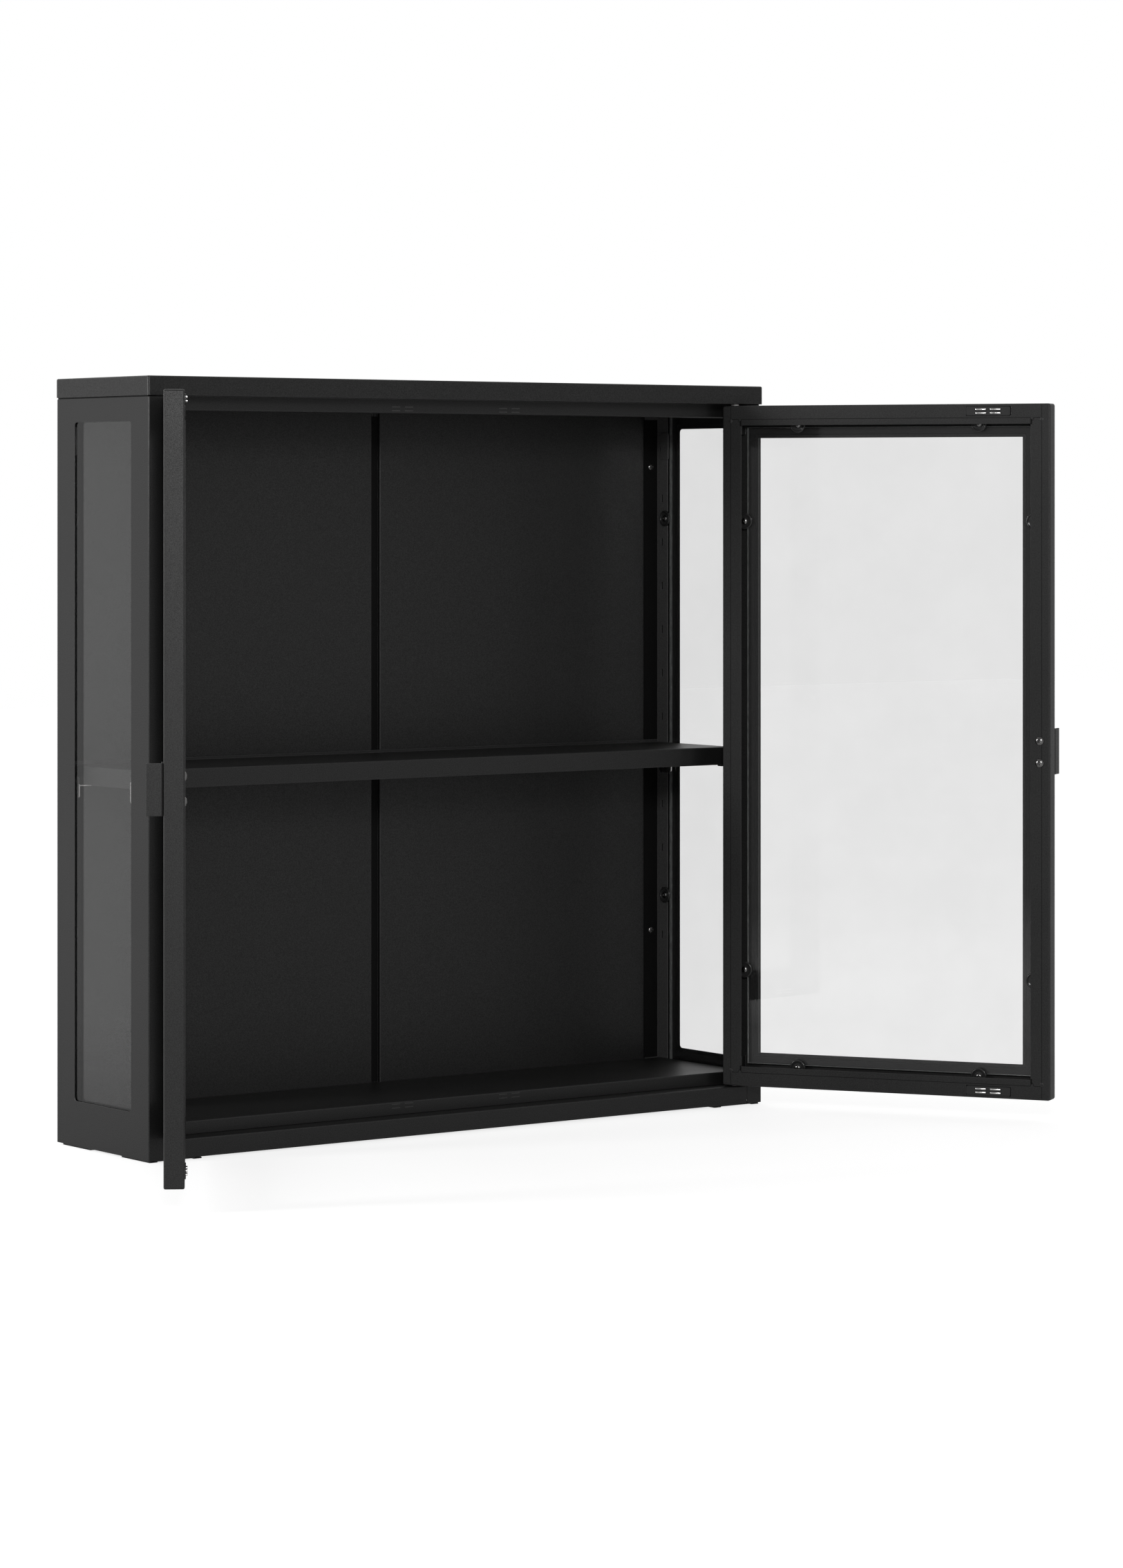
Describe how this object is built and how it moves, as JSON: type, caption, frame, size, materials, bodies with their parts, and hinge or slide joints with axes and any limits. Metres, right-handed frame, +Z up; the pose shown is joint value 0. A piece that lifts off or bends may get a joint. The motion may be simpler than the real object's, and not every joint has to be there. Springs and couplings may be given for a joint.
{
  "type": "glazed wall display cabinet",
  "caption": "Shallow wall display cabinet in black sheet steel with glazed hinged doors, glazed sides, an adjustable shelf on slotted uprights and a solid back.",
  "frame": {"origin": "middle of the rear face, half way up, where the cabinet meets the wall", "axes": "+Z up, +Y into the wall, +X to the right seen from the front; the front face is at Y = -0.1844 m"},
  "size_m": [1.1634, 0.4954, 0.802],
  "materials": {
    "black_powder_coat": "fine satin powder coat",
    "clear_glass": "clear float glass, polished edges",
    "bright_steel": "zinc plated",
    "black_plastic": "moulded",
    "white_nylon": "moulded"
  },
  "bodies": {
    "cabinet": {"back_joint_strip": "black_powder_coat", "base_rail": "black_powder_coat", "floor_tray": "black_powder_coat", "front_left_foot": "black_plastic", "front_left_shelf_clip": "bright_steel", "front_right_foot": "black_plastic", "front_right_shelf_clip": "bright_steel", "header_rail": "black_powder_coat", "left_back_pan": "black_powder_coat", "left_corner_plate": "black_powder_coat", "left_front_upright": "black_powder_coat", "left_lower_pin": "bright_steel", "left_lower_washer": "white_nylon", "left_rear_upright": "black_powder_coat", "left_side_glass": "clear_glass", "left_side_panel": "black_powder_coat", "left_upper_pin": "bright_steel", "left_upper_washer": "white_nylon", "rear_left_foot": "black_plastic", "rear_left_shelf_clip": "bright_steel", "rear_right_foot": "black_plastic", "rear_right_shelf_clip": "bright_steel", "right_back_pan": "black_powder_coat", "right_corner_plate": "black_powder_coat", "right_front_upright": "black_powder_coat", "right_lower_pin": "bright_steel", "right_lower_washer": "white_nylon", "right_rear_upright": "black_powder_coat", "right_side_glass": "clear_glass", "right_side_panel": "black_powder_coat", "right_upper_pin": "bright_steel", "right_upper_washer": "white_nylon", "top_cap": "black_powder_coat"},
    "left_door": {"left_door_frame": "black_powder_coat", "left_door_glass": "clear_glass", "left_free_stile_lower_retainer": "black_plastic", "left_free_stile_upper_retainer": "black_plastic", "left_handle": "black_powder_coat", "left_hinge_stile_lower_retainer": "black_plastic", "left_hinge_stile_upper_retainer": "black_plastic", "left_lower_magnet": "black_plastic", "left_lower_rail_free_retainer": "black_plastic", "left_lower_rail_hinge_retainer": "black_plastic", "left_upper_magnet": "black_plastic", "left_upper_rail_free_retainer": "black_plastic", "left_upper_rail_hinge_retainer": "black_plastic"},
    "right_door": {"right_door_frame": "black_powder_coat", "right_door_glass": "clear_glass", "right_free_stile_lower_retainer": "black_plastic", "right_free_stile_upper_retainer": "black_plastic", "right_handle": "black_powder_coat", "right_hinge_stile_lower_retainer": "black_plastic", "right_hinge_stile_upper_retainer": "black_plastic", "right_lower_magnet": "black_plastic", "right_lower_rail_free_retainer": "black_plastic", "right_lower_rail_hinge_retainer": "black_plastic", "right_upper_magnet": "black_plastic", "right_upper_rail_free_retainer": "black_plastic", "right_upper_rail_hinge_retainer": "black_plastic"},
    "shelf": {"shelf": "black_powder_coat"}
  },
  "joints": [
    {"name": "left_door_swing", "type": "hinge", "parent": "cabinet", "child": "left_door", "pos_m": [-0.3675, -0.1777, 0], "axis": [0, 0, 1], "range_deg": [0, 122]},
    {"name": "right_door_swing", "type": "hinge", "parent": "cabinet", "child": "right_door", "pos_m": [0.3675, -0.1777, 0], "axis": [0, 0, -1], "range_deg": [0, 122]},
    {"name": "shelf_lift", "type": "slide", "parent": "cabinet", "child": "shelf", "axis": [0, 0, 1], "range_m": [0, 0.03]}
  ]
}
